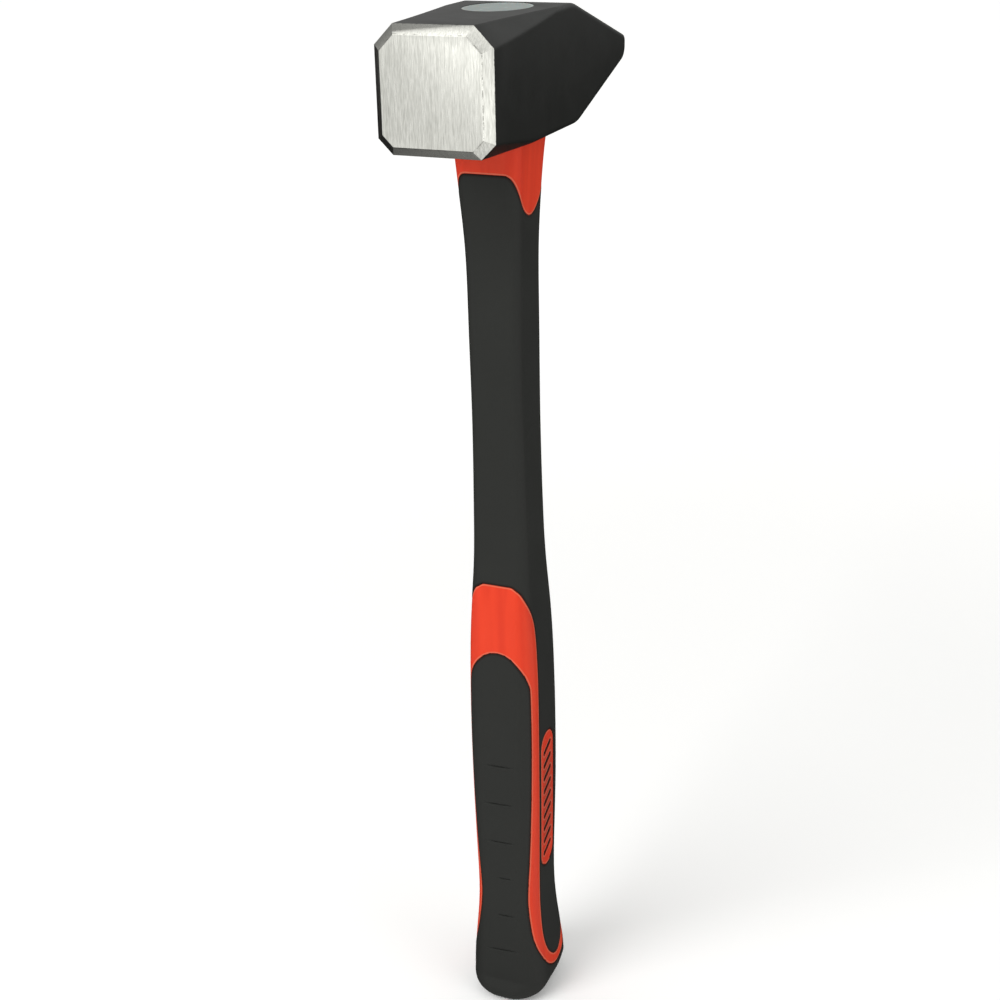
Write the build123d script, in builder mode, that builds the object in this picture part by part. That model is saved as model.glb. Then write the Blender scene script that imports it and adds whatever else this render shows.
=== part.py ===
"""Cross-pein sledgehammer with a fibreglass core handle, moulded over in hard and soft plastic.

Millimetres. The origin is where the eye's axis meets the small flat at the butt's end.
+Z runs up the handle to the head, -Y is the way the striking face points, +Y the way the pein points.
"""
import os
from math import cos, radians, sin, sqrt

from build123d import *

os.makedirs("parts", exist_ok=True)

# ---- Head ----
head_height = 555.0  # butt to the head's centre line
head_size = 60.0  # across the flats, both ways
face_reach = 80.0  # eye's axis to the striking face
pein_reach = 106.5  # eye's axis to the pein's edge
upper_slope_start = 27.0  # where each slope of the pein begins
lower_slope_start = 32.5
pein_above = 5.2  # pein's edge above and below the centre line, before rounding
pein_below = 5.9
upper_pein_radius = 4.0
lower_pein_radius = 8.0
slope_radius = 30.0  # soft bend where a slope meets the body
long_edge_radius = 2.0
face_bevel = 4.6

# The four long corners are cut back at the face and run out towards the eye.
# Each row: which way up, leg of the corner at the face, leg half way, where it runs out.
corner_cuts = [(1, 10.0, 5.9, 13.0), (-1, 8.0, 3.9, -14.0)]

eye_width = 34.0  # across the head
eye_length = 43.0  # along the head
eye_waist = 0.92  # size of the eye half way down, as a share of its mouths

half = head_size / 2
head_bottom = head_height - half
head_top = head_height + half

# ---- Handle ----
# Sections from the head's underside down to the knob's widest point:
# height, half width, reach to the front, reach to the back, corner radius.
stations = [
    (head_bottom, 19.0, 24.5, 24.0, 9.0),
    (514.0, 18.1, 22.6, 21.0, 7.6),
    (499.0, 17.2, 20.5, 18.6, 6.5),
    (471.0, 15.8, 16.5, 16.0, 5.0),
    (429.0, 15.0, 16.0, 17.0, 5.0),
    (373.0, 14.8, 15.0, 17.5, 5.0),
    (317.0, 15.8, 14.5, 18.0, 5.5),
    (289.0, 16.5, 15.5, 20.0, 6.5),
    (261.0, 18.0, 18.5, 23.5, 8.0),
    (233.0, 19.6, 19.0, 24.8, 9.0),
    (191.0, 20.2, 20.0, 26.5, 10.0),
    (135.0, 20.0, 19.0, 26.5, 10.0),
    (93.0, 19.5, 17.5, 24.5, 10.0),
    (65.0, 19.6, 17.0, 25.0, 10.0),
    (45.0, 21.1, 19.1, 27.8, 11.5),
    (28.0, 22.7, 20.1, 31.0, 13.0),
    (14.4, 23.5, 19.6, 32.0, 13.5),
]
HALF_WIDTH, FRONT, BACK = 1, 2, 3  # columns of a station
butt_turns = [8, 20, 34, 50, 65, 78]  # degrees round the butt, from the widest point to the flat
butt_power = 0.74  # below 1 squares the butt's rounding
butt_lean = 10.5  # how far the butt's flat sits in front of the knob's middle
butt_round = 0.92  # corner radius at the flat, as a share of its half width

jacket_depth = 2.2  # thickness of the soft layer over the hard jacket
jacket_recess = 0.25  # bare jacket sits this far below the soft layer

# ---- Edges between the hard and the soft plastic ----
# Points are (reach towards the pein, height) as seen from the side.
collar_edge = [(-25, 511), (-18.7, 501.5), (-11.3, 489), (-1, 483.3), (9.5, 488.7), (16, 499.5), (21.5, 509)]
arch_top = 281.0  # soft layer's lower edge, front and back
arch_radius = 19.5
arch_front = [(-17.2, 290), (-16, 276.5), (-10.3, 261), (-7, 240)]
arch_back = [(19, 240), (20, 261), (21.6, 276.5), (22, 290)]
pad_top = 238.0  # top of the palm pad and of the finger pad
pad_width = 37.0
pad_rise = 26.5  # height of each pad's round top
pad_side_top = pad_top + 5.0  # the loop's outer lines run up past the pads
panel_front = -7.0  # side panel's front line, straight between the arch and the knob
panel_back_inset = 5.6  # side panel's back line, in front of the handle's back
panel_foot = [(-6.3, 43), (1.1, 26.8), (11.5, 21.5), (19.5, 30)]
loop_front = -15.2  # outer line of the bare loop round each side panel
loop_back_inset = 2.0
loop_foot = [(-14, 39.5), (-4.3, 22.4), (10, 15.2), (20, 19.5), (25.3, 31)]
straight_foot = 65.0  # the front lines are straight above this height
back_heights = [45, 65, 93, 135, 191]  # where the back lines are set out from the handle's back
below_butt = -1.0

# ---- Badge on each side panel ----
badge_height = 134.0
badge_middle = 5.5  # behind the eye's axis
badge_length = 91.0
badge_width = 19.4
badge_gap = 0.6
badge_groove = 0.9
bar_count = 9
bar_pitch = 8.6
bar_length = 12.5
bar_width = 3.4
bar_slant = 24.0
inlay_top = 0.55  # below the soft layer's surface
inlay_bottom = 1.6

# ---- Grip slits, from the top down: height, length, shift to the side ----
slits = [(165, 15, 0.2), (139, 20, -1), (112.3, 18.5, -0.8), (86.3, 13, 0.7), (60.2, 15, 1.5), (36.5, 21, 0)]
slit_tilt = 3.0  # degrees that each slit climbs across the pad
slit_depth = 0.9
slit_height = 0.9

# ---- Core, resin and dam ----
core_width = 20.0
core_length = 22.0
core_radius = 8.0
core_bottom = 9.0
core_top = head_top - 4.0
key_heights = [head_height - 19, head_height, head_height + 19]  # rings turned into the core, where the resin keys
key_depth = 0.6
key_height = 3.0
key_cover = 1.0
core_chamfer = 1.0
dam_thickness = 4.0
resin_drop = 0.2  # the resin's top sits just below the head

far = 60.0  # past any handle surface
surface_cover = 5.0


def side_at(height, column):
    """One size of the handle at a height, on a straight line between its two nearest stations."""
    rows = sorted(stations)
    for low, high in zip(rows, rows[1:]):
        if low[0] <= height <= high[0]:
            share = (height - low[0]) / (high[0] - low[0])
            return low[column] + share * (high[column] - low[column])
    return rows[0][column]


def handle_section(station, inset):
    """A rounded rectangle across the handle, drawn in by inset all round."""
    height, half_width, front, back, corner = station
    with BuildSketch(Plane.XY.offset(height)) as section:
        with Locations((0, (back - front) / 2)):
            RectangleRounded(2 * (half_width - inset), front + back - 2 * inset, corner - inset)
    return section.sketch


def butt_section(turn, inset):
    """A section of the rounded butt, turn degrees round from the knob's widest point."""
    knob_height, half_width, front, back, corner = stations[-1]
    rise = (sin(radians(turn)) / sin(radians(butt_turns[-1]))) ** butt_power
    share = cos(radians(turn)) ** butt_power
    height = knob_height + (inset - knob_height) * rise
    middle = (back - front) / 2 - butt_lean * rise
    width = 2 * share * (half_width - inset)
    depth = share * (front + back - 2 * inset)
    round_corner = share * (corner + (butt_round * half_width - corner) * rise - inset)
    with BuildSketch(Plane.XY.offset(height)) as section:
        with Locations((0, middle)):
            RectangleRounded(width, depth, round_corner)
    return section.sketch


def handle_body(inset):
    """The whole handle below the head, drawn in by inset all round."""
    with BuildPart() as body:
        loft(sections=[handle_section(station, inset) for station in stations])
        knob = handle_section(stations[-1], inset)
        loft(sections=[knob] + [butt_section(turn, inset) for turn in butt_turns])
    return body.part


def back_line(inset):
    """Points at a steady distance in front of the handle's back, seen from the side."""
    return [(side_at(height, BACK) - inset, height) for height in back_heights]


def side_panel_outline():
    """The bare loop's inner line, seen from the side: an arch's feet above, a U below."""
    Spline(arch_front, tangents=[(1, -5), (0, -1)])
    Line(arch_front[-1], (panel_front, straight_foot))
    around = [(panel_front, straight_foot)] + panel_foot + back_line(panel_back_inset) + [arch_back[0]]
    Spline(around, tangents=[(0, -1), (0, 1)], tangent_scalars=(1.25, 2.5))
    Spline(arch_back, tangents=[(0, 1), (1, 5)])


def loop_outline():
    """The bare loop's outer line, seen from the side, left open above the pads."""
    Line((loop_front, pad_side_top), (loop_front, straight_foot))
    around = [(loop_front, straight_foot)] + loop_foot + back_line(loop_back_inset)
    Spline(around + [loop_back_top], tangents=[(0, -1), (0, 1)], tangent_scalars=(1.25, 2.5))


def badge_shapes(length, width):
    """A stadium on a side plane, with its long axis upright."""
    with Locations((badge_middle, badge_height)):
        SlotOverall(length, width, rotation=90)


def badge_bars():
    """The slanted bars that fill the badge."""
    with Locations((badge_middle, badge_height)):
        with GridLocations(0, bar_pitch, 1, bar_count):
            SlotOverall(bar_length, bar_width, rotation=bar_slant)


# ---------------------------------------------------------------- head
with BuildPart() as hammer_head:
    with BuildSketch(Plane.YZ) as head_profile:
        with BuildLine():
            Polyline(
                (-face_reach, head_bottom),
                (lower_slope_start, head_bottom),
                (pein_reach, head_height - pein_below),
                (pein_reach, head_height + pein_above),
                (upper_slope_start, head_top),
                (-face_reach, head_top),
                close=True,
            )
        make_face()
        slope_starts = head_profile.vertices().sort_by(Axis.X)[2:4]
        fillet(slope_starts, slope_radius)
        fillet(head_profile.vertices().sort_by(Axis.X)[-2:].sort_by(Axis.Y)[0], lower_pein_radius)
        fillet(head_profile.vertices().sort_by(Axis.X)[-2:].sort_by(Axis.Y)[-1], upper_pein_radius)
    extrude(amount=half, both=True)
    flanks = hammer_head.faces().filter_by(Axis.X)
    long_edges = [edge for edge in flanks.edges() if edge.center().Y > 1 - face_reach]
    fillet(long_edges, long_edge_radius)

    # Long corners, cut back by a shallow arc that runs out towards the eye.
    for up, face_leg, middle_leg, run_out in corner_cuts:
        for side in (1, -1):
            corner_plane = Plane(origin=(0, 0, head_height), x_dir=(0, 1, 0), z_dir=(up, 0, -side))
            with BuildSketch(corner_plane):
                with BuildLine():
                    start = (-face_reach, (head_size - face_leg) / sqrt(2))
                    middle = ((run_out - face_reach) / 2, (head_size - middle_leg) / sqrt(2))
                    end = (run_out, head_size / sqrt(2))
                    ThreePointArc(start, middle, end)
                    Polyline(end, (run_out, far), (-face_reach - 1, far), (-face_reach - 1, start[1]), start)
                make_face()
            extrude(amount=half, both=True, mode=Mode.SUBTRACT)
    chamfer(hammer_head.faces().sort_by(Axis.Y)[0].edges(), face_bevel)

    # The eye narrows half way down, so the set resin can't pull out either way.
    for height in (head_bottom, head_height, head_top):
        share = eye_waist if height == head_height else 1.0
        with BuildSketch(Plane.XY.offset(height)):
            Ellipse(share * eye_width / 2, share * eye_length / 2)
    loft(mode=Mode.SUBTRACT)
hammer_head.part.label = "hammer_head"

# ---------------------------------------------------------------- core
with BuildPart() as fibreglass_core:
    with BuildSketch(Plane.XY.offset(core_bottom)):
        RectangleRounded(core_width, core_length, core_radius)
    extrude(amount=core_top - core_bottom)
    for height in key_heights:
        with BuildSketch(Plane.XY.offset(height - key_height / 2)):
            RectangleRounded(core_width + key_cover, core_length + key_cover, core_radius)
            RectangleRounded(
                core_width - 2 * key_depth,
                core_length - 2 * key_depth,
                core_radius - key_depth,
                mode=Mode.SUBTRACT,
            )
        extrude(amount=key_height, mode=Mode.SUBTRACT)
    chamfer(fibreglass_core.edges().group_by(Axis.Z)[-1], core_chamfer)
fibreglass_core.part.label = "fibreglass_core"

# ---------------------------------------------------------------- resin and dam, both cast to the eye's shape
with BuildPart() as eye_filling:
    for height in (head_bottom, head_height, head_top):
        share = eye_waist if height == head_height else 1.0
        with BuildSketch(Plane.XY.offset(height)):
            Ellipse(share * eye_width / 2, share * eye_length / 2)
    loft()
    add(fibreglass_core.part, mode=Mode.SUBTRACT)

with BuildPart() as resin_dam:
    add(eye_filling.part)
    with BuildSketch(Plane.XY.offset(head_bottom)):
        Rectangle(far, far)
    extrude(amount=dam_thickness, mode=Mode.INTERSECT)
resin_dam.part.label = "resin_dam"

with BuildPart() as eye_resin:
    add(eye_filling.part)
    with BuildSketch(Plane.XY.offset(head_bottom + dam_thickness)):
        Rectangle(far, far)
    extrude(amount=head_size - dam_thickness - resin_drop, mode=Mode.INTERSECT)
eye_resin.part.label = "eye_resin"

# ---------------------------------------------------------------- handle bodies that the plastics share
outer_body = handle_body(0)
bare_body = handle_body(jacket_recess)
inner_body = handle_body(jacket_depth)

# Where the jacket shows through between the shaft sleeve and the butt: under the arch seen from the
# front, and outside the side panels seen from the side.
with BuildPart() as grip_window:
    with BuildSketch(Plane.XZ):
        with BuildLine():
            spring = arch_top - arch_radius
            ThreePointArc((-arch_radius, spring), (0, arch_top), (arch_radius, spring))
            Polyline((arch_radius, spring), (far, spring), (far, below_butt))
            Polyline((far, below_butt), (-far, below_butt), (-far, spring), (-arch_radius, spring))
        make_face()
    extrude(amount=far, both=True)
    with BuildSketch(Plane.YZ):
        with BuildLine():
            side_panel_outline()
            Polyline(arch_back[-1], (far, arch_back[-1][1]), (far, below_butt))
            Polyline((far, below_butt), (-far, below_butt), (-far, arch_front[0][1]), arch_front[0])
        make_face()
    extrude(amount=far, both=True, mode=Mode.INTERSECT)

# The palm pad, the finger pad and the butt: outside the bare loop, below the pads' round tops.
loop_back_top = (side_at(pad_top, BACK) - loop_back_inset, pad_side_top)
with BuildPart() as pad_region:
    with BuildSketch(Plane.XZ):
        spring = pad_top - pad_rise
        with Locations((0, spring)):
            Ellipse(pad_width / 2, pad_rise)
        with Locations((0, (spring + below_butt) / 2)):
            Rectangle(2 * far, spring - below_butt)
    extrude(amount=far, both=True)
    with BuildSketch(Plane.YZ):
        with BuildLine():
            loop_outline()
            Polyline(loop_back_top, (far, loop_back_top[1]), (far, below_butt), (-far, below_butt))
            Polyline((-far, below_butt), (-far, pad_side_top), (loop_front, pad_side_top))
        make_face()
    extrude(amount=far, both=True, mode=Mode.INTERSECT)

# ---------------------------------------------------------------- shaft sleeve with its side panels
with BuildPart() as shaft_sleeve:
    add(outer_body)
    add(inner_body, mode=Mode.SUBTRACT)
    with BuildSketch(Plane.YZ):
        with BuildLine():
            Spline(collar_edge)
            Polyline(collar_edge[-1], (far, collar_edge[-1][1]), (far, 0), (-far, 0))
            Polyline((-far, 0), (-far, collar_edge[0][1]), collar_edge[0])
        make_face()
    extrude(amount=far, both=True, mode=Mode.INTERSECT)
    add(grip_window.part, mode=Mode.SUBTRACT)
    with BuildSketch(Plane.YZ):
        badge_shapes(badge_length, badge_width)
    extrude(amount=far, both=True, mode=Mode.SUBTRACT)
shaft_sleeve.part.label = "shaft_sleeve"

# ---------------------------------------------------------------- grip sleeve: pads and butt
with BuildPart() as plain_grip:
    add(pad_region.part)
    add(outer_body, mode=Mode.INTERSECT)
    add(inner_body, mode=Mode.SUBTRACT)

with BuildPart() as grip_sleeve:
    add(plain_grip.part)
    for height, length, shift in slits:
        radius = (length**2 / 4 + slit_depth**2) / (2 * slit_depth)
        front_middle = slit_depth - side_at(height, FRONT) - radius
        back_middle = side_at(height, BACK) - slit_depth + radius
        front_cut = Location((shift, front_middle, height), (0, -slit_tilt, 0))
        back_cut = Location((-shift, back_middle, height), (0, slit_tilt, 0))
        with Locations(front_cut, back_cut):
            Cylinder(radius, slit_height, mode=Mode.SUBTRACT)
grip_sleeve.part.label = "grip_sleeve"

# ---------------------------------------------------------------- badge inlays, the same on both sides
with BuildPart() as badge_inlays:
    for side in (1, -1):
        with BuildSketch(Plane.YZ.offset(side * (side_at(badge_height, HALF_WIDTH) - inlay_bottom))):
            badge_bars()
        extrude(amount=side * surface_cover)
    add(handle_body(inlay_top), mode=Mode.INTERSECT)
badge_inlays.part.label = "badge_inlays"

# ---------------------------------------------------------------- jacket
with BuildPart() as handle_jacket:
    add(bare_body)
    add([shaft_sleeve.part, plain_grip.part, fibreglass_core.part], mode=Mode.SUBTRACT)
    # The thin groove round each badge, and the pockets for its bars.
    for side in (1, -1):
        reach = side_at(badge_height, HALF_WIDTH)
        with BuildSketch(Plane.YZ.offset(side * (reach - badge_groove))):
            badge_shapes(badge_length, badge_width)
            with Locations((badge_middle, badge_height)):
                SlotOverall(
                    badge_length - 2 * badge_gap,
                    badge_width - 2 * badge_gap,
                    rotation=90,
                    mode=Mode.SUBTRACT,
                )
        extrude(amount=side * surface_cover, mode=Mode.SUBTRACT)
        pocket_plane = Plane.YZ.offset(side * (side_at(badge_height, HALF_WIDTH) - inlay_bottom))
        with BuildSketch(pocket_plane):
            badge_bars()
        extrude(amount=side * surface_cover, mode=Mode.SUBTRACT)
handle_jacket.part.label = "handle_jacket"

for piece in (
    hammer_head,
    fibreglass_core,
    resin_dam,
    eye_resin,
    shaft_sleeve,
    grip_sleeve,
    badge_inlays,
    handle_jacket,
):
    export_step(piece.part, f"parts/{piece.part.label}.step")
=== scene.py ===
"""Looks of the cross-pein sledgehammer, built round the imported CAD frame. Metres, in the frame's axes.

The handle's outer form is measured from the CAD nodes with rays, then rebuilt as fine, even meshes with
rolled edges where the hard jacket meets the soft sleeves. The head is the CAD head with eased edges.
"""
import math

import bmesh
import bpy
import numpy as np
from mathutils import Matrix, Vector
from mathutils.bvhtree import BVHTree
from mathutils.kdtree import KDTree


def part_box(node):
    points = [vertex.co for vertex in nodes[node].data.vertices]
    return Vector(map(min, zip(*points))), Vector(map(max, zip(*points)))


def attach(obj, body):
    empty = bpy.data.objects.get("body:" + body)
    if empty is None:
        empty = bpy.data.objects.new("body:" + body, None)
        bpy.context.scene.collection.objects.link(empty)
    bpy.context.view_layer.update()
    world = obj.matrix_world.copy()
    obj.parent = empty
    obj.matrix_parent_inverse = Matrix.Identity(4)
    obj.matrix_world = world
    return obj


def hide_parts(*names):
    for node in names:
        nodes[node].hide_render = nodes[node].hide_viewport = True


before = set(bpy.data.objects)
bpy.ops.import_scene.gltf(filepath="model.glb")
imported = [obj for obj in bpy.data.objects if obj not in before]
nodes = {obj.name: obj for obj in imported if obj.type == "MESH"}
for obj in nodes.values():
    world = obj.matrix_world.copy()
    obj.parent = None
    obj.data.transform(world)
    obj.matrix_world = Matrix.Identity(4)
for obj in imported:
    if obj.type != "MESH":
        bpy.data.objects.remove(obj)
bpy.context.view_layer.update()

MM = 0.001
HANDLE_NODES = ("handle_jacket", "shaft_sleeve", "grip_sleeve", "badge_inlays")
HARD, SHAFT, GRIP, INLAY = range(4)  # what shows at a point of the handle, in the order above

# ---- Sizes that the frame doesn't say ----
JACKET_RECESS = 0.25 * MM  # bare jacket sits this far below the sleeves
SLEEVE_DEPTH = 2.2 * MM
INLAY_FLOOR = 1.9 * MM
ROLL = 1.0 * MM  # how far from a plastic's edge it starts to roll down
ROLL_DROP = 0.45 * MM
SEAM_WALL = 0.05 * MM

# ---- Grid of the handle's skin ----
ROW_STEP = 1.0 * MM
BADGE_STEP = 0.6 * MM
SLIT_STEP = 0.24 * MM
FRONT_COLUMNS = 28
SIDE_COLUMNS = 40
CORNER_COLUMNS = 15
BUTT_ROWS = 22
STATION_STEP = 3 * MM


# ================================================================ measuring the frame
def build_skin():
    """One ray tree over the handle's CAD nodes, and which node each face belongs to."""
    points, faces, owners = [], [], []
    for index, name in enumerate(HANDLE_NODES):
        mesh = nodes[name].data
        start = len(points)
        points += [vertex.co.copy() for vertex in mesh.vertices]
        faces += [[start + corner for corner in face.vertices] for face in mesh.polygons]
        owners += [index] * len(mesh.polygons)
    return BVHTree.FromPolygons(points, faces), owners


skin_tree, skin_owners = build_skin()


def cast(origin, direction, reach=1.0):
    """Where a ray first meets the handle, and what it meets. Nothing gives None, None."""
    place, _, face, _ = skin_tree.ray_cast(Vector(origin), Vector(direction).normalized(), reach)
    return (place, skin_owners[face]) if place else (None, None)


def outer_reach(origin, direction, axis, sign):
    """Reach of the handle's outer form along an axis, with the bare jacket's recess made good."""
    place, owner = cast(origin, direction)
    return sign * place[axis] + (JACKET_RECESS if owner == HARD else 0.0)


far = 0.1
centre_line = 0.3 * MM  # a little off the middle, so that no ray runs along a seam of the mesh
flank_lines = (-7.5 * MM, 5.5 * MM)


def measure(height, spread):
    """Half width, reach to the front, reach to the back and corner radius of the handle at a height."""
    around = [min(height + shift, handle_top - 0.2 * MM) for shift in (-spread, 0, spread)]
    front = np.median([outer_reach((centre_line, -far, z), (0, 1, 0), 1, -1) for z in around])
    back = np.median([outer_reach((centre_line, far, z), (0, -1, 0), 1, 1) for z in around])
    middle = (back - front) / 2
    lines = flank_lines + (middle,) if spread else (middle,)
    half_width = max(outer_reach((far, y, height), (-1, 0, 0), 0, 1) for y in lines)
    radii = []
    for side, reach in ((-1, front), (1, back)):
        corner = Vector((half_width, side * reach, height))
        place, owner = cast(corner + far * Vector((1, side, 0)), (-1, -side, 0))
        gap = (corner - place).length - (JACKET_RECESS if owner == HARD else 0.0)
        radii.append(gap / (math.sqrt(2) - 1))
    return half_width, front, back, sum(radii) / 2


def smooth_rows(values, steps):
    """A moving average with a bell-shaped weight, steps rows wide, carried straight on past both ends."""
    reach = 3 * steps
    weights = np.exp(-0.5 * (np.arange(-reach, reach + 1) / steps) ** 2)
    weights /= weights.sum()
    before = 2 * values[0] - values[1:reach + 1][::-1]
    after = 2 * values[-1] - values[-reach - 1:-1][::-1]
    padded = np.concatenate([before, values, after])
    return np.stack([np.convolve(column, weights, "valid") for column in padded.T], 1)


handle_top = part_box("hammer_head")[0].z
knob_height = 14.4 * MM
station_heights = np.arange(knob_height, handle_top - 0.5 * MM, STATION_STEP)
stations = smooth_rows(np.array([measure(z, 1.2 * MM) for z in station_heights]), 2)


def section_at(height):
    """The four sizes of the handle's section at a height above the knob."""
    return [np.interp(height, station_heights, stations[:, column]) for column in range(4)]


def dips_at(x, z):
    """True where the grip's front lies deeper than it does just above and just below."""
    depths = [cast((x, -far, z + shift), (0, 1, 0))[0].y for shift in (-SLIT_CLEAR, 0, SLIT_CLEAR)]
    return depths[1] - max(depths[0], depths[2]) > SLIT_DIP


def find_slits():
    """Each slit's height on the middle line, its climb across the grip, its middle and its half length."""
    step = 0.2 * MM
    heights = np.arange(20 * MM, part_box("grip_sleeve")[1].z - 5 * MM, step)
    dips = np.array([dips_at(centre_line, z) for z in heights], int)
    found = []
    for start, end in zip(np.flatnonzero(np.diff(dips) == 1), np.flatnonzero(np.diff(dips) == -1)):
        height = (heights[start + 1] + heights[end]) / 2
        beside = 2 * MM
        near = [height + number * step / 4 for number in range(-20, 21)]
        levels = [np.mean([z for z in near if dips_at(x, z)]) for x in (-beside, beside)]
        climb = (levels[1] - levels[0]) / (2 * beside)
        ends = []
        for side in (-1, 1):
            x = side * beside
            while dips_at(x, height + climb * x):
                x += side * step
            ends.append(x)
        found.append((height, climb, sum(ends) / 2, SLIT_REACH * (ends[1] - ends[0]) / 2))
    return found


SLIT_DIP = 0.2 * MM
SLIT_CLEAR = 1.4 * MM  # this far above or below its middle, a slit has ended
SLIT_REACH = 1.12  # a slit's full length against the part that is deeper than SLIT_DIP
slits = find_slits()


# ================================================================ the skin's grid
def rounded_rectangle(half_x, low_y, high_y, corner):
    """Points once round a rounded rectangle, evenly spread on each flat and each corner."""
    corner = min(corner, half_x * 0.999, (high_y - low_y) / 2 * 0.999)
    inner_x = half_x - corner
    flats = [
        ((-inner_x, low_y), (inner_x, low_y), FRONT_COLUMNS, -90),
        ((half_x, low_y + corner), (half_x, high_y - corner), SIDE_COLUMNS, 0),
        ((inner_x, high_y), (-inner_x, high_y), FRONT_COLUMNS, 90),
        ((-half_x, high_y - corner), (-half_x, low_y + corner), SIDE_COLUMNS, 180),
    ]
    ring = []
    for start, end, columns, turn in flats:
        for step in range(columns):
            share = step / columns
            ring.append((start[0] + share * (end[0] - start[0]), start[1] + share * (end[1] - start[1])))
        facing = math.radians(turn)
        centre = (end[0] - corner * math.cos(facing), end[1] - corner * math.sin(facing))
        for step in range(CORNER_COLUMNS):
            angle = facing + math.radians(90) * step / CORNER_COLUMNS
            ring.append((centre[0] + corner * math.cos(angle), centre[1] + corner * math.sin(angle)))
    return ring


def section_ring(sizes, height):
    half_width, front, back, corner = sizes
    return [(x, y, height) for x, y in rounded_rectangle(half_width, -front, back, corner)]


def row_heights():
    """Heights of the skin's rows above the knob, closer together at the badge and at each slit."""
    low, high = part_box("badge_inlays")[0].z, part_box("badge_inlays")[1].z
    margin = 9 * MM
    heights = [knob_height]
    while heights[-1] < handle_top:
        z = heights[-1]
        step = BADGE_STEP if low - margin < z < high + margin else ROW_STEP
        if any(abs(z - slit[0]) < 2.4 * MM for slit in slits):
            step = SLIT_STEP
        heights.append(z + step)
    heights[-1] = handle_top
    return heights


def butt_rings():
    """Rings of the rounded butt, from its flat up to the knob."""
    turns = [math.radians(90 * row / BUTT_ROWS) for row in range(BUTT_ROWS)]
    heights = [max(knob_height * (1 - math.cos(turn)), 0.02 * MM) for turn in turns]
    sizes = smooth_rows(np.array([measure(z, 0) for z in heights] + [section_at(knob_height)]), 1)
    flat = [(share * x, y0 + share * (y - y0), 0.0) for share in (0.02, 0.35, 0.7, 0.96)
            for y0 in [(sizes[0][2] - sizes[0][1]) / 2]
            for x, y, _ in section_ring(sizes[0], 0.0)]
    columns = len(section_ring(sizes[0], 0.0))
    rings = [flat[start:start + columns] for start in range(0, len(flat), columns)]
    rings += [section_ring(row, z) for row, z in zip(sizes[:-1], heights)]
    return rings


def handle_rings():
    """Every ring of the skin, from the butt's flat up to the head's underside."""
    rings = butt_rings()
    rings += [section_ring(section_at(z), z) for z in row_heights()]
    return rings


def ring_normals(points):
    """Outward directions of a skin given as rings of points."""
    around = np.roll(points, -1, 1) - np.roll(points, 1, 1)
    upward = np.gradient(points, axis=0)
    normals = np.cross(around, upward)
    return normals / np.linalg.norm(normals, axis=2, keepdims=True)


def shown_at(place, normal):
    """Which plastic shows at a point of the skin."""
    _, owner = cast(place + PROBE * normal, -normal, 3 * PROBE)
    return HARD if owner is None else owner


PROBE = 1 * MM
skin_points = np.array(handle_rings())
skin_normals = ring_normals(skin_points)
ring_count, column_count, _ = skin_points.shape
flat_points = [Vector(p) for p in skin_points.reshape(-1, 3)]
flat_normals = [Vector(n) for n in skin_normals.reshape(-1, 3)]
shown = np.array([shown_at(p, n) for p, n in zip(flat_points, flat_normals)])


def crossing_share(first, second, kind):
    """How far along an edge of the grid a plastic ends, found by halving."""
    low, high = 0.0, 1.0
    starts_in = kind(shown[first])
    for _ in range(7):
        share = (low + high) / 2
        place = flat_points[first].lerp(flat_points[second], share)
        normal = flat_normals[first].lerp(flat_normals[second], share).normalized()
        if kind(shown_at(place, normal)) == starts_in:
            low = share
        else:
            high = share
    return (low + high) / 2


def is_sleeve(owner):
    return owner in (SHAFT, GRIP)


def is_inlay(owner):
    return owner == INLAY


# ================================================================ cutting the grid along the edges
SNAP = 0.07  # a cut this near a vertex, as a share of the edge, goes through the vertex


def grid_mesh():
    """The skin as one mesh of quads, closed at the butt and open under the head."""
    mesh = bmesh.new()
    outward = mesh.verts.layers.float_vector.new("outward")
    verts = [mesh.verts.new(p) for p in flat_points]
    for vert, normal in zip(verts, flat_normals):
        vert[outward] = normal
    for row in range(ring_count - 1):
        low, high = row * column_count, (row + 1) * column_count
        for column in range(column_count):
            after = (column + 1) % column_count
            mesh.faces.new([verts[low + column], verts[low + after], verts[high + after], verts[high + column]])
    mesh.faces.new(verts[:column_count][::-1])
    mesh.verts.index_update()
    return mesh


def divide(face, layer, level):
    """Splits a face along a level line between two of its corners that lie on that level."""
    corners = list(face.verts)
    heights = [v[layer] - level for v in corners]
    on_level = [i for i, h in enumerate(heights) if abs(h) < 1e-9]
    for i in on_level:
        for j in on_level:
            one, other = heights[i + 1:j], heights[j + 1:] + heights[:i]
            if j <= i + 1 or not one or not other:
                continue
            if max(one) * min(other) < 0 and (min(one) > -1e-9 or max(one) < 1e-9):
                bmesh.utils.face_split(face, corners[i], corners[j])
                return
            if min(one) * max(other) < 0 and (min(one) > -1e-9 or max(one) < 1e-9):
                bmesh.utils.face_split(face, corners[i], corners[j])
                return


def split_at(mesh, layer, level, share_of=None, near=None):
    """Cuts the mesh where the layer's value is level. share_of may give the exact place on an edge."""
    touched = set()
    for edge in list(mesh.edges):
        first, second = edge.verts
        low, high = first[layer] - level, second[layer] - level
        if low * high >= 0 or (near and not near(first.co)):
            continue
        share = share_of(first, second) if share_of else low / (low - high)
        if share < SNAP or share > 1 - SNAP:
            snapped = first if share < 0.5 else second
            snapped[layer] = level
            touched.add(snapped)
            continue
        _, cut = bmesh.utils.edge_split(edge, first, share)
        cut[layer] = level
        touched.add(cut)
    for face in {face for vert in touched for face in vert.link_faces}:
        divide(face, layer, level)


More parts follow.
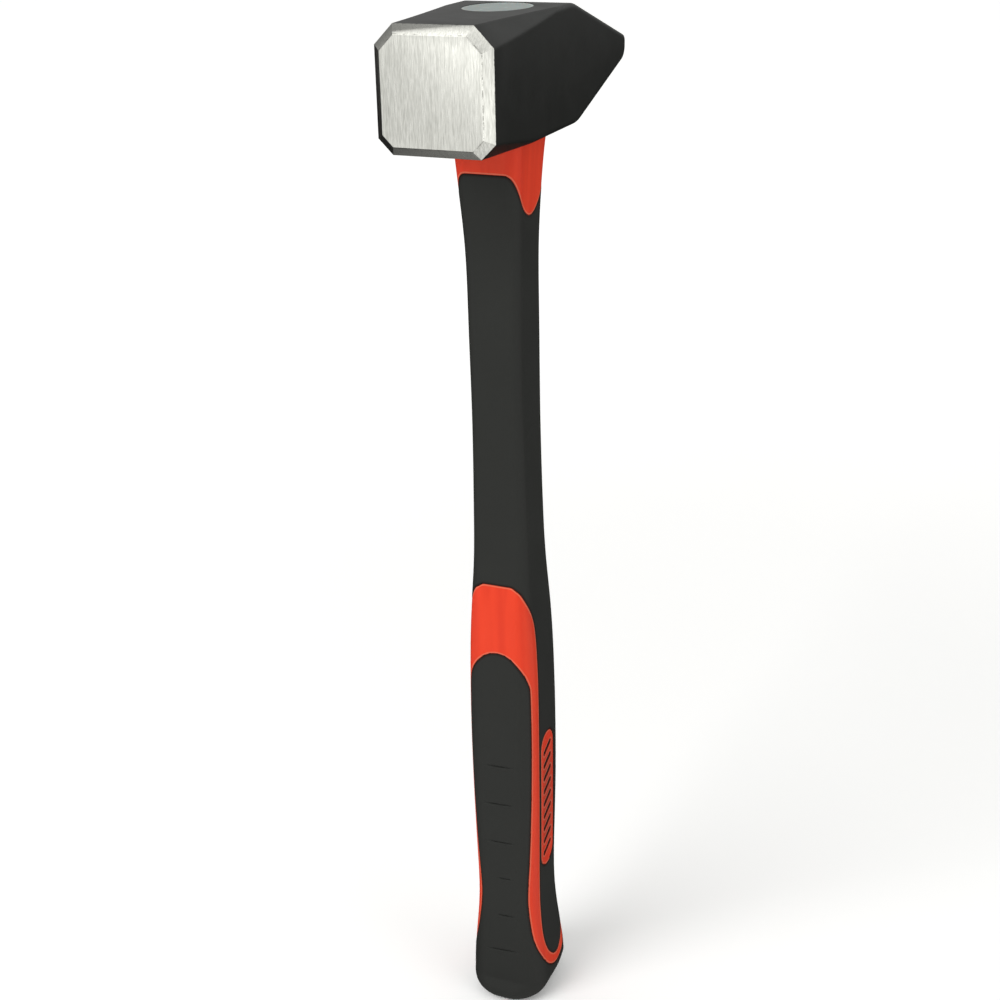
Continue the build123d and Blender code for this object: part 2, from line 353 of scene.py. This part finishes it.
def edge_distances(kind):
    """Signed distance of every grid point to the edge of a plastic, positive inside it, and the exact cuts."""
    inside = np.array([kind(owner) for owner in shown]).reshape(ring_count, column_count)
    index = np.arange(ring_count * column_count).reshape(ring_count, column_count)
    cuts = {}
    for shift_row, shift_column in ((0, 1), (1, 0)):
        other = np.roll(inside, -shift_column, 1)[shift_row:]
        other_index = np.roll(index, -shift_column, 1)[shift_row:]
        rows = inside[:ring_count - shift_row]
        for row, column in np.argwhere(rows != other):
            first, second = int(index[row, column]), int(other_index[row, column])
            cuts[first, second] = crossing_share(first, second, kind)
    places = {pair: flat_points[pair[0]].lerp(flat_points[pair[1]], share) for pair, share in cuts.items()}
    samples = []
    for row in range(ring_count - 1):
        for column in range(column_count):
            a, b = int(index[row, column]), int(index[row, (column + 1) % column_count])
            c, d = b + column_count, a + column_count
            ends = [places[pair] for pair in ((a, b), (b, c), (d, c), (a, d)) if pair in places]
            if len(ends) == 2:
                samples += [ends[0].lerp(ends[1], step / 8) for step in range(9)]
    tree = KDTree(len(samples))
    for number, sample in enumerate(samples):
        tree.insert(sample, number)
    tree.balance()
    signs = np.where(inside.ravel(), 1.0, -1.0)
    reach = 6 * MM
    distances = [min(tree.find(p)[2], reach) for p in flat_points]
    return signs * np.array(distances), cuts


def evened(distances):
    """The distances averaged a little over their neighbours, which takes the waver out of an edge."""
    field = distances.reshape(ring_count, column_count)
    for _ in range(EVEN_PASSES):
        field = (np.roll(field, 1, 1) + 2 * field + np.roll(field, -1, 1)) / 4
        padded = np.concatenate([2 * field[:1] - field[1:2], field, 2 * field[-1:] - field[-2:-1]])
        field = (padded[:-2] + 2 * padded[1:-1] + padded[2:]) / 4
    return field.ravel()


EVEN_PASSES = 2


def cut_skin():
    """The whole skin, cut along every edge between plastics and along lines beside those edges."""
    mesh = grid_mesh()
    for name, kind, levels in (
        ("sleeve", is_sleeve, (-ROLL, -0.4 * ROLL, SEAM_WALL, 0.15 * ROLL, 0.4 * ROLL, ROLL)),
        ("bar", is_inlay, (-0.5 * ROLL, -0.2 * ROLL, SEAM_WALL)),
    ):
        distances, cuts = edge_distances(kind)
        if kind is is_sleeve:
            distances = evened(distances)
        layer = mesh.verts.layers.float.new(name)
        mesh.verts.ensure_lookup_table()
        for index, distance in enumerate(distances):
            mesh.verts[index][layer] = distance
        for vert in list(mesh.verts)[len(distances):]:
            vert[layer] = -1.0
        exact = None if kind is is_sleeve else lambda a, b: exact_share(cuts, a.index, b.index)
        split_at(mesh, layer, 0.0, exact)
        for level in levels:
            split_at(mesh, layer, level)
        if kind is is_sleeve:
            for level in (-BADGE_GAP, -BADGE_GAP - SEAM_WALL):
                split_at(mesh, layer, level, near=beside_badge)
    drop_slivers(mesh)
    return mesh


def drop_slivers(mesh):
    """Removes the few faces that cutting left with no area or as doubles of another face."""
    seen = set()
    spare = []
    for face in mesh.faces:
        corners = frozenset(face.verts)
        if corners in seen:
            spare.append(face)
        seen.add(corners)
    bmesh.ops.delete(mesh, geom=spare, context="FACES")
    bmesh.ops.dissolve_degenerate(mesh, dist=0.005 * MM, edges=mesh.edges)


def exact_share(cuts, first, second):
    """The measured place of a cut on an edge of the grid, from its first end."""
    if (first, second) in cuts:
        return cuts[first, second]
    return 1 - cuts[second, first]


BADGE_GAP = 0.6 * MM
BADGE_GROOVE = 0.9 * MM
badge_low, badge_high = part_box("badge_inlays")
badge_margin = 6.5 * MM


def beside_badge(place):
    """True within the badge on either side, its groove included."""
    level = badge_low.z - badge_margin < place.z < badge_high.z + badge_margin
    along = badge_low.y - badge_margin < place.y < badge_high.y + badge_margin
    return level and along and abs(place.x) > badge_high.x / 2


def rolled(distance, roll, drop):
    """How far a rounded edge has dropped at a distance from the edge."""
    share = 1 - min(max(distance / roll, 0.0), 1.0)
    return drop * (1 - math.sqrt(1 - share ** 2))


def slit_shape(place):
    """Depth of the grip's creases at a point, with the raised lip under each."""
    depth = 0.0
    x = place.x if place.y < 0 else -place.x
    for height, climb, middle, half_length in slits:
        across = place.z - height - climb * x
        along = 1 - ((x - middle) / half_length) ** 2
        if abs(across) > 3 * MM or along <= 0:
            continue
        depth += SLIT_DEPTH * along ** 0.7 * math.exp(-(across / (0.36 * MM)) ** 2)
        depth -= SLIT_LIP * along ** 0.7 * math.exp(-((across + 1.0 * MM) / (0.55 * MM)) ** 2)
    return depth


SLIT_DEPTH = 1.0 * MM
SLIT_LIP = 0.24 * MM
HARD_DROP = 0.12 * MM


def finish_piece(mesh, name, slot_name, *replaced):
    """Turns a bmesh into a piece that rides on the root body and stands for CAD nodes."""
    data = bpy.data.meshes.new(name)
    mesh.to_mesh(data)
    mesh.free()
    data.shade_smooth()
    data.set_sharp_from_angle(angle=math.radians(42))
    piece = bpy.data.objects.new(name, data)
    bpy.context.scene.collection.objects.link(piece)
    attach(piece, "root")
    if replaced:
        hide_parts(*replaced)
    return piece


def islands(mesh):
    """The mesh's separate parts as lists of faces, highest part first."""
    waiting = set(mesh.faces)
    found = []
    while waiting:
        part, edge_of_part = [], [waiting.pop()]
        while edge_of_part:
            face = edge_of_part.pop()
            part.append(face)
            for edge in face.edges:
                for other in edge.link_faces:
                    if other in waiting:
                        waiting.remove(other)
                        edge_of_part.append(other)
        found.append(part)
    return sorted(found, key=lambda part: -max(face.calc_center_median().z for face in part))


def line_inside(mesh, outward, depth):
    """Makes an open skin a shell: the same skin again deeper in, and walls along its open edges."""
    inner = {vert: mesh.verts.new(vert.co - depth * vert[outward].normalized()) for vert in list(mesh.verts)}
    walls = []
    for edge in mesh.edges:
        if edge.is_boundary:
            loop = edge.link_loops[0]
            first, second = loop.vert, loop.link_loop_next.vert
            walls.append((second, first, inner[first], inner[second]))
    insides = [[inner[vert] for vert in reversed(face.verts)] for face in mesh.faces]
    for corners in insides + walls:
        mesh.faces.new(corners)


def make_sleeves(skin):
    """The soft layer in two pieces: the shaft with its side panels, and the pads with the butt."""
    made = []
    for number, name in enumerate(("shaft_sleeve", "grip_sleeve")):
        mesh = skin.copy()
        level = mesh.verts.layers.float["sleeve"]
        outward = mesh.verts.layers.float_vector["outward"]
        outside = [f for f in mesh.faces if min(v[level] for v in f.verts) < -1e-9]
        bmesh.ops.delete(mesh, geom=outside, context="FACES")
        parts = islands(mesh)
        unwanted = [face for other, part in enumerate(parts) if (other == 0) != (number == 0) for face in part]
        bmesh.ops.delete(mesh, geom=unwanted, context="FACES")
        surface = list(mesh.verts)
        line_inside(mesh, outward, SLEEVE_DEPTH - 2 * SEAM_WALL)
        for vert in surface:
            normal = vert[outward].normalized()
            drop = rolled(vert[level], ROLL, ROLL_DROP)
            if name == "grip_sleeve" and abs(normal.x) < 0.7:
                drop += slit_shape(vert.co)
            vert.co -= drop * normal
        made.append(finish_piece(mesh, "soft_" + name, "black_rubber", name))
    return made


def jacket_drop(sleeve, bar, in_badge):
    """How far the hard jacket lies below the handle's outer form."""
    if sleeve > SEAM_WALL / 2:
        return SLEEVE_DEPTH
    if bar > SEAM_WALL / 2:
        return INLAY_FLOOR
    drop = HARD_RECESS
    if in_badge:
        if sleeve > -BADGE_GAP - SEAM_WALL / 2:
            return BADGE_GROOVE
        drop += rolled(-sleeve - BADGE_GAP, ROLL, 2 * HARD_DROP) + rolled(-bar, 0.5 * ROLL, HARD_DROP)
    else:
        drop += rolled(-sleeve, ROLL, HARD_DROP)
    return drop


HARD_RECESS = 0.12 * MM


def make_jacket(skin):
    """The hard jacket: its bare stretches on the outside, lower where the sleeves and bars cover it."""
    mesh = skin.copy()
    sleeve, bar = (mesh.verts.layers.float[name] for name in ("sleeve", "bar"))
    outward = mesh.verts.layers.float_vector["outward"]
    for vert in mesh.verts:
        drop = jacket_drop(vert[sleeve], vert[bar], beside_badge(vert.co))
        vert.co -= drop * vert[outward].normalized()
    add_core_bore(mesh)
    return finish_piece(mesh, "hard_jacket", "orange_plastic", "handle_jacket")


def add_core_bore(mesh):
    """Closes the jacket under the head and lines the bore that the core sits in."""
    rim = [edge for edge in mesh.edges if edge.is_boundary]
    low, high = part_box("fibreglass_core")
    corner = 0.8 * high.x
    outline = rounded_rectangle(high.x + BORE_PLAY, low.y - BORE_PLAY, high.y + BORE_PLAY, corner)
    top = [mesh.verts.new((x, y, handle_top)) for x, y in outline]
    bottom = [mesh.verts.new((x, y, low.z - BORE_PLAY)) for x, y in outline]
    bore_rim = []
    for index, (upper, lower) in enumerate(zip(top, bottom)):
        after = (index + 1) % len(top)
        mesh.faces.new([upper, lower, bottom[after], top[after]])
        bore_rim.append(mesh.edges.get((upper, top[after])))
    mesh.faces.new(bottom)
    bmesh.ops.bridge_loops(mesh, edges=rim + bore_rim)


BORE_PLAY = 0.05 * MM
skin = cut_skin()
sleeves = make_sleeves(skin)
jacket = make_jacket(skin)
skin.free()


# ================================================================ the head
def make_head():
    """The CAD head with its flat faces whole again: ground edges crisp, forged edges softer."""
    mesh = bmesh.new()
    mesh.from_mesh(nodes["hammer_head"].data)
    bmesh.ops.remove_doubles(mesh, verts=mesh.verts, dist=0.001 * MM)
    bmesh.ops.dissolve_limit(mesh, angle_limit=math.radians(0.3), verts=mesh.verts, edges=mesh.edges)
    weight = mesh.edges.layers.float.new("bevel_weight_edge")
    ground = min(vert.co.y for vert in mesh.verts) + FACE_BEVEL + 0.2 * MM
    for edge in mesh.edges:
        if len(edge.link_faces) == 2 and edge.calc_face_angle() > math.radians(15):
            is_ground = all(vert.co.y < ground for vert in edge.verts)
            edge[weight] = GROUND_EDGE / FORGED_EDGE if is_ground else 1.0
    piece = finish_piece(mesh, "forged_head", "head_paint", "hammer_head")
    eased = piece.modifiers.new("eased_edges", "BEVEL")
    eased.width = FORGED_EDGE
    eased.segments = 3
    eased.limit_method = "WEIGHT"
    eased.harden_normals = True
    return piece


FACE_BEVEL = 4.6 * MM
GROUND_EDGE = 0.15 * MM
FORGED_EDGE = 0.8 * MM
head = make_head()


# ================================================================ materials
class Recipe:
    """A node material in the making. Every method adds one node and gives back its output socket."""

    def __init__(self, name):
        self.material = bpy.data.materials.new(name)
        self.material.use_nodes = True
        self.tree = self.material.node_tree
        self.shader = self.tree.nodes["Principled BSDF"]
        self.place = self.add("ShaderNodeNewGeometry").outputs["Position"]

    def add(self, kind, **inputs):
        made = self.tree.nodes.new(kind)
        for name, value in inputs.items():
            self.feed(made.inputs[name.replace("_", " ")], value)
        return made

    def feed(self, socket, value):
        if isinstance(value, bpy.types.NodeSocket):
            self.tree.links.new(value, socket)
        else:
            socket.default_value = value

    def set(self, **inputs):
        for name, value in inputs.items():
            self.feed(self.shader.inputs[name.replace("_", " ")], value)

    def math(self, operation, first, second=0.0, third=0.0):
        made = self.tree.nodes.new("ShaderNodeMath")
        made.operation = operation
        for socket, value in zip(made.inputs, (first, second, third)):
            self.feed(socket, value)
        return made.outputs[0]

    def stretched(self, x=1.0, y=1.0, z=1.0):
        """The place in space, scaled along each axis."""
        made = self.tree.nodes.new("ShaderNodeVectorMath")
        made.operation = "MULTIPLY"
        self.feed(made.inputs[0], self.place)
        made.inputs[1].default_value = (x, y, z)
        return made.outputs[0]

    def noise(self, scale, detail=2.0, roughness=0.5, vector=None):
        """Fractal noise from 0 to 1. Scale is in lumps a metre."""
        made = self.add("ShaderNodeTexNoise", Scale=scale, Detail=detail, Roughness=roughness)
        self.feed(made.inputs["Vector"], vector or self.place)
        return made.outputs["Fac"]

    def cells(self, scale):
        made = self.add("ShaderNodeTexVoronoi", Scale=scale)
        self.feed(made.inputs["Vector"], self.place)
        return made.outputs["Distance"]

    def ramp(self, value, low, high, first=0.0, second=1.0):
        """The value carried from low..high to first..second, smoothly and without overshoot."""
        made = self.tree.nodes.new("ShaderNodeMapRange")
        made.interpolation_type = "SMOOTHSTEP"
        for socket, number in zip(made.inputs, (value, low, high, first, second)):
            self.feed(socket, number)
        return made.outputs["Result"]

    def mix(self, share, first, second):
        """A blend of two colours."""
        made = self.tree.nodes.new("ShaderNodeMix")
        made.data_type = "RGBA"
        for name, value in (("Factor_Float", share), ("A_Color", first), ("B_Color", second)):
            self.feed(next(s for s in made.inputs if s.identifier == name), value)
        return next(s for s in made.outputs if s.identifier == "Result_Color")

    def blend(self, share, first, second):
        """A blend of two numbers."""
        made = self.tree.nodes.new("ShaderNodeMix")
        for name, value in (("Factor_Float", share), ("A_Float", first), ("B_Float", second)):
            self.feed(next(s for s in made.inputs if s.identifier == name), value)
        return next(s for s in made.outputs if s.identifier == "Result_Float")

    def stored(self, name):
        """A number kept with the mesh, such as the distance to a seam in metres."""
        made = self.tree.nodes.new("ShaderNodeAttribute")
        made.attribute_name = name
        return made.outputs["Fac"]

    def band(self, value, middle, width):
        """1 at the middle of a band of values, 0 from width away on."""
        away = self.math("ABSOLUTE", self.math("SUBTRACT", value, middle))
        return self.ramp(away, 0.0, width, 1.0, 0.0)

    def axis(self, name):
        return self.add("ShaderNodeSeparateXYZ", Vector=self.place).outputs[name]

    def bump(self, height, depth, strength=1.0, below=None):
        made = self.add("ShaderNodeBump", Height=height, Distance=depth, Strength=strength)
        if below:
            self.feed(made.inputs["Normal"], below)
        return made.outputs["Normal"]


def rgb(red, green, blue):
    return (red, green, blue, 1.0)


def black_rubber():
    """Soft black overmould: fine spark-eroded grain, faint flow marks and a dull sheen."""
    r = Recipe("black_rubber_grain")
    grain = r.noise(2600, 3.0, 0.6)
    drift = r.noise(28, 3.0, 0.55)
    dust = r.ramp(r.noise(900, 4.0, 0.7), 0.62, 0.8)
    colour = r.mix(drift, rgb(0.0160, 0.0168, 0.0153), rgb(0.0205, 0.0213, 0.0195))
    # Painted shade: the rubber's colour is darkened towards the butt, near the floor, where less light reaches.
    butt = r.ramp(r.axis("Z"), 5 * MM, 90 * MM, 0.35, 0.0)
    colour = r.mix(butt, colour, rgb(0.010, 0.0105, 0.0095))
    # Painted shadow: the rubber is darkened in a band along its edge with the jacket, standing in for the shadow
    # in the groove there.
    seam = r.band(r.stored("sleeve"), 0.0, 1.9 * MM)
    colour = r.mix(seam, colour, rgb(0.010, 0.0035, 0.002))
    r.set(
        Base_Color=r.mix(r.math("MULTIPLY", dust, 0.12), colour, rgb(0.11, 0.11, 0.105)),
        Roughness=r.blend(drift, 0.5, 0.62),
        Specular_IOR_Level=0.16,
        Normal=r.bump(grain, 0.05 * MM, 0.5, r.bump(drift, 0.3 * MM, 0.25)),
    )
    return r.material


def orange_plastic():
    """Hard orange-red jacket: satin skin, draw lines, painted highlights along its rims and round the bars,
    painted shade over the badge and a painted shadow line where the soft plastic meets it.
    """
    r = Recipe("orange_plastic_satin")
    grain = r.noise(3200, 2.0, 0.5)
    drift = r.noise(22, 2.0, 0.5)
    lines = r.noise(420, 2.0, 0.5, r.stretched(z=0.02))
    streaks = r.ramp(r.noise(170, 1.0, 0.5, r.stretched(z=0.03)), 0.35, 0.65)
    colour = r.mix(drift, rgb(0.65, 0.042, 0.0135), rgb(0.72, 0.050, 0.017))
    colour = r.mix(r.math("MULTIPLY", streaks, 0.4), colour, rgb(0.52, 0.024, 0.009))
    colour = r.mix(r.math("MULTIPLY", lines, 0.16), colour, rgb(0.50, 0.028, 0.011))
    to_seam = r.stored("sleeve")
    # Painted highlight: a paler band just off the seam, along the rolled edge of the jacket.
    rim = r.band(to_seam, -0.7 * MM, 0.6 * MM)
    # Painted shadow: a dark line right at the seam with the soft plastic, standing in for the shadow in the groove
    # there.
    painted_seam_shadow = r.band(to_seam, 0.0, 0.4 * MM)
    # Painted highlight: a paler band round each bar of the badge.
    bar_rim_highlight = r.band(r.stored("bar"), -0.6 * MM, 0.5 * MM)
    # Painted shade: the badge's field is darkened to stand in for the letters' shading and the glancing light over
    # it.
    along_badge = r.band(r.axis("Z"), (badge_low.z + badge_high.z) / 2, (badge_high.z - badge_low.z) / 2 + 3 * MM)
    across_badge = r.band(r.axis("Y"), (badge_low.y + badge_high.y) / 2, (badge_high.y - badge_low.y) / 2 + 3 * MM)
    field = r.ramp(r.math("MINIMUM", along_badge, across_badge), 0.05, 0.35)
    colour = r.mix(r.math("MULTIPLY", field, 0.5), colour, rgb(0.30, 0.045, 0.025))
    colour = r.mix(r.math("MULTIPLY", rim, 0.6), colour, rgb(0.60, 0.19, 0.11))
    colour = r.mix(r.math("MULTIPLY", bar_rim_highlight, 0.8), colour, rgb(0.46, 0.17, 0.11))
    colour = r.mix(painted_seam_shadow, colour, rgb(0.050, 0.010, 0.005))
    r.set(
        Base_Color=colour,
        Roughness=r.blend(drift, 0.36, 0.44),
        Specular_IOR_Level=0.16,
        Subsurface_Weight=0.06,
        Subsurface_Scale=0.6 * MM,
        Normal=r.bump(grain, 0.02 * MM, 0.35, r.bump(lines, 0.08 * MM, 0.25)),
    )
    r.set(Subsurface_Radius=(1.0, 0.3, 0.15))
    return r.material


PAINT_ROUNDING = 2.4 * MM


def head_finish():
    """Satin black paint over forged steel, ground bare and brushed at the striking face and the pein's edge."""
    r = Recipe("head_paint_and_bare_steel")
    low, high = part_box("hammer_head")
    y = r.axis("Y")
    ragged = r.math("MULTIPLY", r.math("SUBTRACT", r.noise(400, 4.0, 0.7), 0.5), 0.9 * MM)
    ragged_y = r.math("ADD", y, ragged)
    face_bare = r.ramp(ragged_y, low.y + FACE_BEVEL - 0.15 * MM, low.y + FACE_BEVEL + 0.15 * MM, 1.0, 0.0)
    pein_bare = r.ramp(ragged_y, high.y - 0.45 * MM, high.y - 0.15 * MM)
    bare = r.math("MAXIMUM", face_bare, pein_bare)

    # Brushed steel: long streaks up the face and the bevels, then finer ones inside them.
    broad = r.ramp(r.noise(1100, 3.0, 0.6, r.stretched(z=0.07, y=0.3)), 0.3, 0.7)
    fine = r.ramp(r.noise(3400, 2.0, 0.6, r.stretched(z=0.06, y=0.3)), 0.32, 0.68)
    streaks = r.math("ADD", r.math("MULTIPLY", broad, 0.35), r.math("MULTIPLY", fine, 0.65))
    steel = r.mix(streaks, rgb(0.54, 0.54, 0.50), rgb(0.84, 0.84, 0.79))
    # A patchy dark line on the bevels just behind the face's edge.
    face_edge_dark_line = r.math("MULTIPLY", r.band(y, low.y + 0.4 * MM, 0.35 * MM), r.ramp(r.noise(330, 3.0, 0.7), 0.47, 0.6))
    steel = r.mix(r.math("MULTIPLY", face_edge_dark_line, 0.75), steel, rgb(0.16, 0.155, 0.14))
    scratches = r.bump(streaks, 0.03 * MM, 0.5)

    # Paint: forging ripple under it, a fine orange peel, a little dust.
    ripple = r.noise(90, 3.0, 0.5)
    peel = r.noise(1500, 2.0, 0.5)
    paint = r.mix(r.noise(45, 2.0), rgb(0.0085, 0.0092, 0.0083), rgb(0.0125, 0.0132, 0.0120))
    specks = r.math("MULTIPLY", r.ramp(r.noise(1400, 3.0, 0.7), 0.66, 0.8), 0.08)
    paint = r.mix(specks, paint, rgb(0.10, 0.10, 0.095))
    soft = r.add("ShaderNodeBevel", Radius=PAINT_ROUNDING)
    soft.samples = 8
    coat = r.bump(peel, 0.02 * MM, 0.4, r.bump(ripple, 0.25 * MM, 0.3, soft.outputs["Normal"]))

    paint_shader = r.shader
    r.set(Base_Color=paint, Roughness=r.blend(ripple, 0.38, 0.46), Specular_IOR_Level=0.22, Normal=coat)
    steel_shader = r.add("ShaderNodeBsdfPrincipled")
    r.shader = steel_shader
    r.set(Base_Color=steel, Metallic=1.0, Roughness=r.blend(streaks, 0.34, 0.26), Normal=scratches)
    both = r.add("ShaderNodeMixShader", Fac=bare)
    r.feed(both.inputs[1], paint_shader.outputs[0])
    r.feed(both.inputs[2], steel_shader.outputs[0])
    r.feed(r.tree.nodes["Material Output"].inputs["Surface"], both.outputs[0])
    return r.material


def epoxy():
    """Set epoxy at the top of the eye: grey-green, faintly cloudy, with a painted highlight where it climbs the
    eye's edge.
    """
    r = Recipe("epoxy_grey_green")
    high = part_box("eye_resin")[1]
    across = r.math("POWER", r.math("DIVIDE", r.axis("X"), high.x), 2.0)
    along = r.math("POWER", r.math("DIVIDE", r.axis("Y"), high.y), 2.0)
    reach = r.math("SQRT", r.math("ADD", across, along))
    # Painted highlight: the colour pales towards the eye's edge, where the resin climbs it.
    rim = r.ramp(reach, 0.9, 0.985)
    cloud = r.noise(160, 4.0, 0.6)
    fine = r.noise(1800, 2.0, 0.5)
    swirl = r.ramp(r.math("ABSOLUTE", r.math("SUBTRACT", r.noise(55, 2.0), 0.5)), 0.0, 0.03, 0.35, 0.0)
    colour = r.mix(cloud, rgb(0.21, 0.25, 0.24), rgb(0.28, 0.32, 0.305))
    # Joins the painted rim highlight with the pale swirls in the resin.
    pale = r.math("MAXIMUM", r.math("MULTIPLY", rim, 0.8), swirl)
    r.set(
        Base_Color=r.mix(pale, colour, rgb(0.46, 0.50, 0.48)),
        Roughness=r.blend(cloud, 0.3, 0.42),
        Subsurface_Weight=0.1,
        Subsurface_Scale=1 * MM,
        Normal=r.bump(fine, 0.02 * MM, 0.3, r.bump(r.math("ADD", cloud, rim), 0.3 * MM, 0.4)),
    )
    return r.material


def fibreglass():
    """Pultruded core: pale glass fibres running up the handle in amber resin."""
    r = Recipe("fibreglass_strands")
    strands = r.noise(1600, 3.0, 0.6, r.stretched(z=0.02))
    r.set(
        Base_Color=r.mix(strands, rgb(0.42, 0.36, 0.22), rgb(0.66, 0.62, 0.48)),
        Roughness=r.blend(strands, 0.5, 0.35),
        Normal=r.bump(strands, 0.05 * MM, 0.5),
    )
    return r.material


def dam_rubber():
    """Foam-rubber stopper under the resin: dark grey with small closed cells."""
    r = Recipe("dam_rubber_cells")
    cell = r.cells(1500)
    r.set(
        Base_Color=r.mix(cell, rgb(0.05, 0.05, 0.052), rgb(0.09, 0.09, 0.09)),
        Roughness=0.8,
        Normal=r.bump(cell, 0.1 * MM, 0.5),
    )
    return r.material


def dress(target, material):
    """Gives every material slot of an object the same material."""
    target.data.materials.clear()
    target.data.materials.append(material)


rubber = black_rubber()
for sleeve in sleeves:
    dress(sleeve, rubber)
dress(jacket, orange_plastic())
dress(head, head_finish())
for name, material in (
    ("badge_inlays", rubber),
    ("eye_resin", epoxy()),
    ("fibreglass_core", fibreglass()),
    ("resin_dam", dam_rubber()),
):
    for slot in nodes[name].material_slots:
        slot.material = material


# ================================================================ floor, light and camera
def make_floor():
    """A wide pale floor. Polished steel mirrors the studio round it instead, as set in the world."""
    mesh = bmesh.new()
    bmesh.ops.create_grid(mesh, x_segments=1, y_segments=1, size=6.0)
    data = bpy.data.meshes.new("floor")
    mesh.to_mesh(data)
    mesh.free()
    floor = bpy.data.objects.new("floor", data)
    bpy.context.scene.collection.objects.link(floor)
    r = Recipe("floor_pale")
    r.set(Base_Color=r.mix(r.noise(3, 2.0), rgb(0.93, 0.93, 0.925), rgb(0.95, 0.95, 0.945)), Roughness=0.9)
    r.set(Specular_IOR_Level=0.1)
    # Only the camera sees this glow, which keeps the far floor as pale as the near floor.
    seen = r.add("ShaderNodeLightPath").outputs["Is Camera Ray"]
    across = r.math("POWER", r.axis("X"), 2.0)
    along = r.math("POWER", r.axis("Y"), 2.0)
    glow = r.ramp(r.math("SQRT", r.math("ADD", across, along)), 0.2, 2.0, 0.08, 0.38)
    r.set(Emission_Color=rgb(1.0, 1.0, 1.0), Emission_Strength=r.math("MULTIPLY", seen, glow))
    # Seen from below, the floor is clear, so that the hammer's underside can be looked at.
    clear = r.add("ShaderNodeBsdfTransparent")
    both = r.add("ShaderNodeMixShader", Fac=r.add("ShaderNodeNewGeometry").outputs["Backfacing"])
    r.feed(both.inputs[1], r.shader.outputs[0])
    r.feed(both.inputs[2], clear.outputs[0])
    r.feed(r.tree.nodes["Material Output"].inputs["Surface"], both.outputs[0])
    dress(floor, r.material)
    floor.visible_glossy = False


def toward(recipe, direction, way):
    """How nearly a direction points one way, from -1 to 1."""
    made = recipe.add("ShaderNodeVectorMath")
    made.operation = "DOT_PRODUCT"
    recipe.feed(made.inputs[0], direction)
    made.inputs[1].default_value = way
    return made.outputs["Value"]


def make_world():
    """Even white light for matt surfaces; for mirrored ones, a tent that is open low down behind the head."""
    world = bpy.data.worlds.new("studio")
    bpy.context.scene.world = world
    world.use_nodes = True
    tree = world.node_tree
    background = tree.nodes["Background"]
    r = Recipe.__new__(Recipe)
    r.tree = tree
    direction = r.add("ShaderNodeTexCoord").outputs["Generated"]
    up = r.add("ShaderNodeSeparateXYZ", Vector=direction).outputs["Z"]
    forward = toward(r, direction, (0.5, -0.85, 0.0))
    right = toward(r, direction, (0.95, -0.3, 0.0))
    left = toward(r, direction, (-1.0, 0.0, 0.0))
    below = r.ramp(forward, -0.6, 0.6, 0.0, 0.92)
    below = r.math("ADD", below, r.ramp(right, 0.6, 0.9, 0.0, 0.46))
    below = r.math("ADD", below, r.ramp(up, -0.9, -0.7, 0.07, 0.0))
    sides = r.math("MULTIPLY", r.ramp(left, 0.6, 0.95, 1.0, 0.3), r.ramp(right, 0.2, 0.65, 1.0, 0.5))
    above = r.math("MULTIPLY", sides, r.ramp(forward, -0.95, 0.2, 0.5, 1.72))
    tent = r.blend(r.ramp(up, -0.16, 0.2), below, above)
    path = r.add("ShaderNodeLightPath")
    plain = r.blend(path.outputs["Is Camera Ray"], 0.67, 1.0)
    r.feed(background.inputs["Strength"], r.blend(path.outputs["Is Glossy Ray"], plain, tent))
    background.inputs["Color"].default_value = rgb(1.0, 1.0, 0.985)


def make_light(name, place, size, energy):
    """One broad soft light, aimed at the middle of the hammer."""
    data = bpy.data.lights.new(name, "AREA")
    data.shape = "DISK"
    data.size = size
    data.energy = energy
    light = bpy.data.objects.new(name, data)
    bpy.context.scene.collection.objects.link(light)
    light.location = place
    aim = Vector((0, 0, handle_top / 2)) - light.location
    light.rotation_euler = aim.to_track_quat("-Z", "Y").to_euler()
    light.visible_glossy = False


def make_camera():
    """A camera a little above the head and to its right, with the photograph's slight roll."""
    azimuth, elevation, roll = (math.radians(angle) for angle in (23.34, 22.41, -1.22))
    back = Vector((
        math.sin(azimuth) * math.cos(elevation),
        -math.cos(azimuth) * math.cos(elevation),
        math.sin(elevation),
    ))
    right = (-back).cross(Vector((0, 0, 1))).normalized()
    up = right.cross(-back)
    axes = Matrix((
        math.cos(roll) * right + math.sin(roll) * up,
        math.cos(roll) * up - math.sin(roll) * right,
        back,
    )).transposed()
    data = bpy.data.cameras.new("camera")
    data.lens = 59.57
    data.sensor_width = 36.0
    camera = bpy.data.objects.new("camera", data)
    bpy.context.scene.collection.objects.link(camera)
    head_middle = sum(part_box("hammer_head"), Vector()) / 2
    offset = Vector((0.3294, -0.7734, 0.1155))
    camera.matrix_world = Matrix.Translation(Vector((0, 0, head_middle.z)) + offset) @ axes.to_4x4()
    bpy.context.scene.camera = camera


make_floor()
make_world()
make_light("key", (-0.9, -1.7, 1.7), 1.6, 36.0)
make_light("fill", (1.7, -0.5, 0.9), 1.4, 6.0)
make_camera()
bpy.context.scene.view_settings.view_transform = "Standard"
